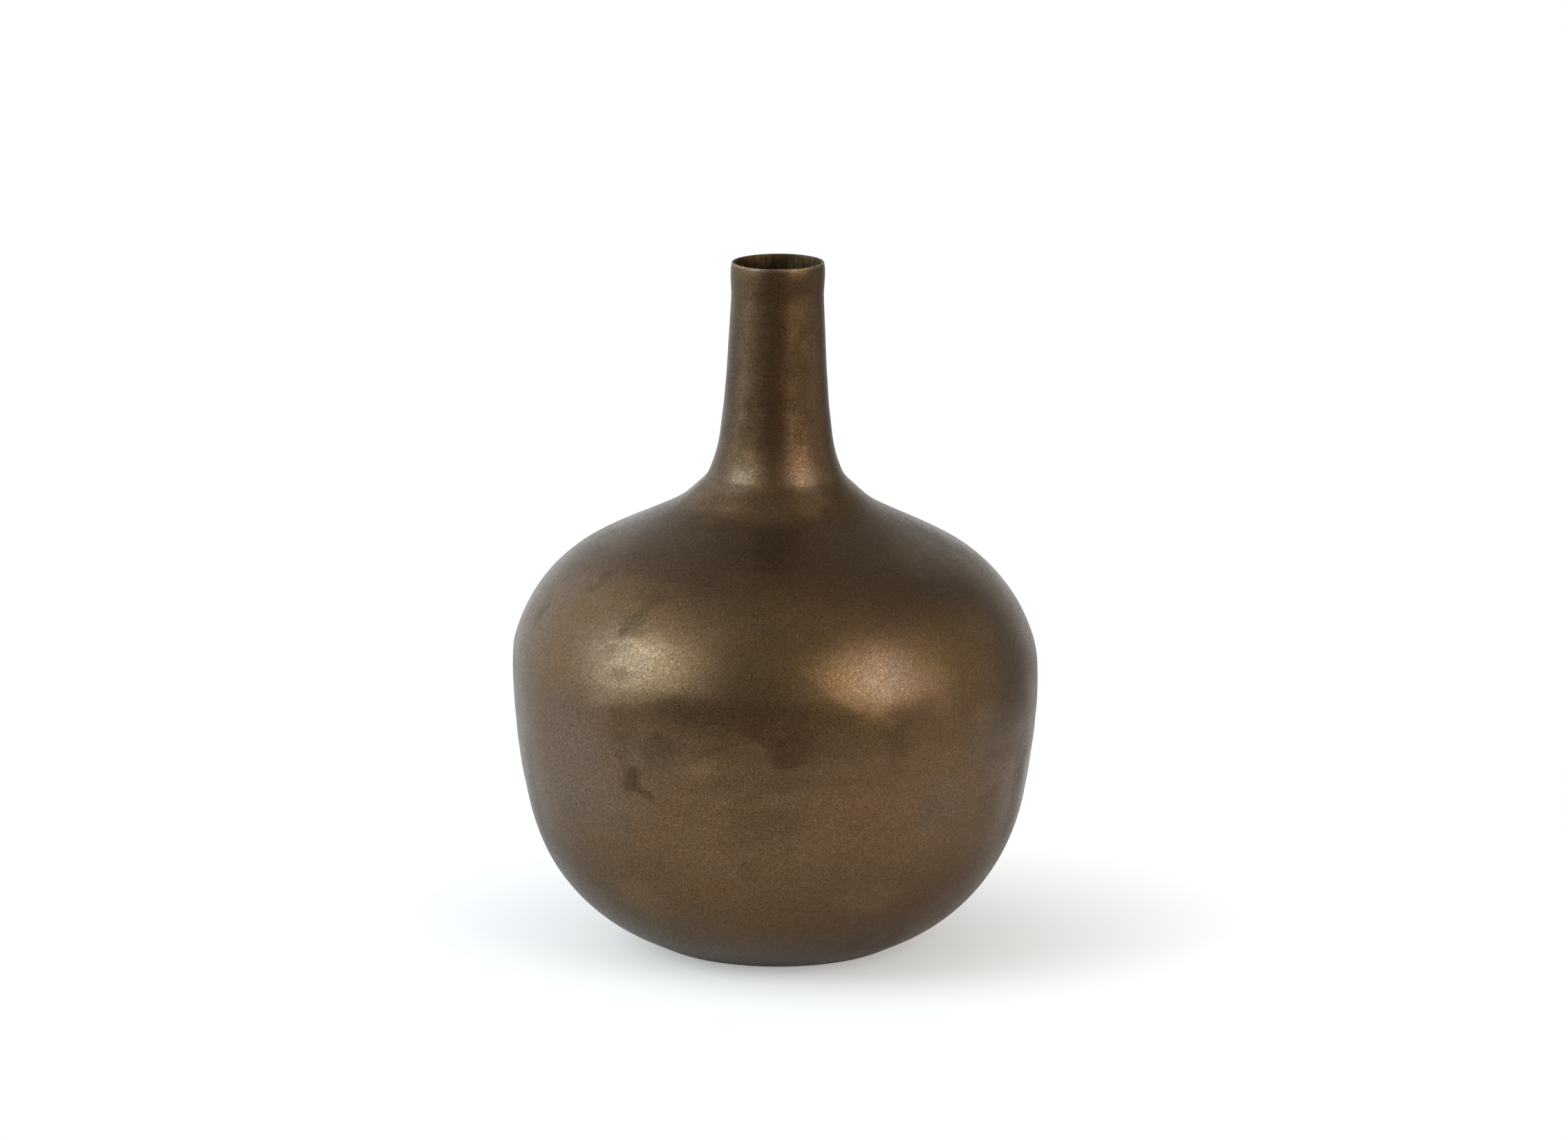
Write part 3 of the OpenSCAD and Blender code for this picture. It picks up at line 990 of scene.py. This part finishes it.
def floor():
    """A round white table top whose edge fades into the white behind it."""
    bpy.ops.mesh.primitive_circle_add(
        vertices=FLOOR_CORNERS, radius=FLOOR_R, fill_type="NGON"
    )
    top = bpy.context.object
    top.name = "floor"
    material = empty_material("floor_white")
    tree = material.node_tree
    place = object_place(tree)
    far = add_node(tree, "ShaderNodeVectorMath", {0: place}, operation="LENGTH").outputs["Value"]
    diffuse = add_node(tree, "ShaderNodeBsdfDiffuse", {"Color": FLOOR_COLOUR})
    glow = add_node(tree, "ShaderNodeEmission", {"Strength": floor_glow(tree, far)})
    both = add_node(
        tree, "ShaderNodeAddShader", {0: diffuse.outputs["BSDF"], 1: glow.outputs["Emission"]}
    )
    clear = add_node(tree, "ShaderNodeBsdfTransparent")
    mix = add_node(
        tree, "ShaderNodeMixShader",
        {0: mapped(tree, far, *FLOOR_FADE), 1: both.outputs["Shader"],
         2: clear.outputs["BSDF"]},
    )
    add_node(tree, "ShaderNodeOutputMaterial", {"Surface": mix.outputs["Shader"]})
    top.data.materials.append(material)


# Light from all round. Soft ranges by the parts of the direction along X, Y and Z
FRONT_TO_BACK = (-0.5, 0.6, 0.34, 0.30)
WHITE_BEHIND = (0.4, 1.05)
WHITE_BEHIND_LOW = (0.78, -0.12)
BEHIND_SLANT = -0.33
WHITE_LEFT = (-0.25, -0.65)
WHITE_LEFT_LOW = (0.97, 0.8)
WHITE_FLOORWARDS = (-0.40, -0.02, 0.57, 1.0)
DIM_FRONT = (-0.2, -0.65)
DIM_FRONT_LOW = (0.4, 0.1)
WARMTH_ACROSS = (-0.7, 0.7)
WORLD_WHITE = 1.2
WORLD_DIM = 0.21
COOL = (0.96, 1.02, 1.06, 1)
WARM = (1.01, 0.995, 0.98, 1)

# Soft bright parts of the studio: azimuth to the right, elevation, reach and added level
HALOS = [
    (-62, 50, 26, 0.28),
    (77, 9, 53, 0.40),
    (0, 85, 42, 0.05),
]
HALO_CORE = 0.3

# Lamps: name, azimuth, elevation, distance, roll, width, height, radiance and colour
SOFTBOXES = [
    ("left_box", -63.5, 25.5, 1.4, 17, 0.97, 0.63, 3.8, (0.76, 1.0, 1.09)),
    ("right_box", 45.5, 20, 1.6, 10, 0.98, 1.10, 2.75, (1.02, 0.985, 0.89)),
]
LAMP_AIM_Z = 0.16


def direction(azimuth, elevation):
    """The way from the vase at an azimuth to the right of the front and an elevation."""
    a, e = math.radians(azimuth), math.radians(elevation)
    return Vector((math.sin(a) * math.cos(e), -math.cos(a) * math.cos(e), math.sin(e)))


def plain_level(tree, way, axes):
    """Level of the world's plain light, with its soft bright parts."""
    level = mapped(tree, axes["Y"], *FRONT_TO_BACK)
    for azimuth, elevation, reach, added in HALOS:
        near = add_node(
            tree, "ShaderNodeVectorMath", {0: way, 1: direction(azimuth, elevation)},
            operation="DOT_PRODUCT",
        )
        edge = math.cos(math.radians(reach))
        core = math.cos(math.radians(HALO_CORE * reach))
        halo = mapped(tree, near.outputs["Value"], edge, core, 0, added)
        level = math_node(tree, "ADD", level, halo)
    return level


def white_share(tree, axes):
    """Where the world is white: low down behind the vase, and up its left."""
    slanting = math_node(tree, "MULTIPLY_ADD", axes["X"], BEHIND_SLANT, axes["Y"])
    low_behind = mapped(tree, axes["Z"], *WHITE_BEHIND_LOW)
    behind = math_node(tree, "MULTIPLY", mapped(tree, slanting, *WHITE_BEHIND), low_behind)
    low_left = mapped(tree, axes["Z"], *WHITE_LEFT_LOW)
    left = math_node(tree, "MULTIPLY", mapped(tree, axes["X"], *WHITE_LEFT), low_left)
    white = math_node(tree, "MAXIMUM", behind, left)
    return math_node(tree, "MULTIPLY", white, mapped(tree, axes["Z"], *WHITE_FLOORWARDS))


def world():
    """Plain light, white behind the vase and on its left, and dim low down in front.

    The camera sees it white in every direction.
    """
    made = bpy.data.worlds.new("studio")
    bpy.context.scene.world = made
    made.use_nodes = True
    tree = made.node_tree
    tree.nodes.clear()
    way = add_node(tree, "ShaderNodeTexCoord").outputs["Generated"]
    axes = axes_of(tree, way)
    low_front = mapped(tree, axes["Z"], *DIM_FRONT_LOW)
    dim = math_node(tree, "MULTIPLY", mapped(tree, axes["Y"], *DIM_FRONT), low_front)
    level = blended(tree, white_share(tree, axes), plain_level(tree, way, axes), WORLD_WHITE)
    level = blended(tree, dim, level, WORLD_DIM)
    seen = add_node(tree, "ShaderNodeLightPath").outputs["Is Camera Ray"]
    colour = mixed(tree, mapped(tree, axes["X"], *WARMTH_ACROSS), COOL, WARM)
    sky = add_node(
        tree, "ShaderNodeBackground",
        {"Color": mixed(tree, seen, colour, WHITE), "Strength": blended(tree, seen, level, 1.0)},
    )
    add_node(tree, "ShaderNodeOutputWorld", {"Surface": sky.outputs["Background"]})


def softbox(name, azimuth, elevation, distance, roll, width, height, radiance, colour):
    """A rectangular lamp in a direction from the vase, facing it and rolled about its axis."""
    data = bpy.data.lights.new(name, "AREA")
    data.shape = "RECTANGLE"
    data.size = width
    data.size_y = height
    data.energy = radiance * math.pi * width * height
    data.color = colour
    lamp = bpy.data.objects.new(name, data)
    bpy.context.scene.collection.objects.link(lamp)
    way = direction(azimuth, elevation)
    lamp.location = Vector((0, 0, LAMP_AIM_Z)) + distance * way
    facing = (-way).to_track_quat("-Z", "Y")
    lamp.rotation_euler = (facing @ Quaternion((0, 0, 1), math.radians(roll))).to_euler()


def camera():
    """The photograph's camera, level from side to side and aimed at the axis."""
    data = bpy.data.cameras.new("camera")
    data.sensor_width = SENSOR_W
    data.lens = LENS
    made = bpy.data.objects.new("camera", data)
    bpy.context.scene.collection.objects.link(made)
    pixels_per_metre = LENS / SENSOR_W * PICTURE_W / CAMERA_DISTANCE
    side = (PICTURE_W / 2 - AXIS_PIXEL) / pixels_per_metre
    pitch = math.radians(CAMERA_PITCH)
    back = CAMERA_DISTANCE * math.cos(pitch)
    rise = CAMERA_DISTANCE * math.sin(pitch)
    made.location = (side, -back, AIM_Z + rise)
    made.rotation_euler = (math.pi / 2 - pitch, 0, 0)
    bpy.context.scene.camera = made


# The pieces

def dress(piece, name, material):
    """Gives a turned piece its material and body, and lets it stand for its node."""
    piece.data.materials.append(material)
    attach(piece, BODY)
    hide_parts(name)


def pieces():
    """All pieces of the vase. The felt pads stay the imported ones, with a better material."""
    coat = bronze("bronze_coat")
    weld = bronze("bronze_over_dressed_weld", dressing=0.25)
    seam_coat = bronze("bronze_over_neck_seam", olive_level=1.0, dressing=0.1)
    for name, material, slot in (
        ("bowl_shell", coat, "bronze_coat"),
        ("girth_weld", weld, "weld_coat"),
        ("shoulder_shell", coat, "bronze_coat"),
        ("neck_weld", weld, "weld_coat"),
    ):
        dress(turned(name + "_turned", fine_outline(name)), name, material)
    neck = fine_outline("neck_tube")
    tube = turned("neck_tube_rolled", neck, count=STEPS_AROUND // 2, gap="rest")
    dress(tube, "neck_tube", coat)
    seam = turned("neck_side_seam_dressed", neck, count=SEAM_STEPS, gap="slot", bead=SEAM_BEAD)
    dress(seam, "neck_side_seam", seam_coat)
    pads = frame["nodes"]["felt_pads"]
    pads.data.materials.clear()
    pads.data.materials.append(felt_material())


pieces()
floor()
world()
for lamp_row in SOFTBOXES:
    softbox(*lamp_row)
camera()
bpy.context.scene.view_settings.view_transform = "Standard"
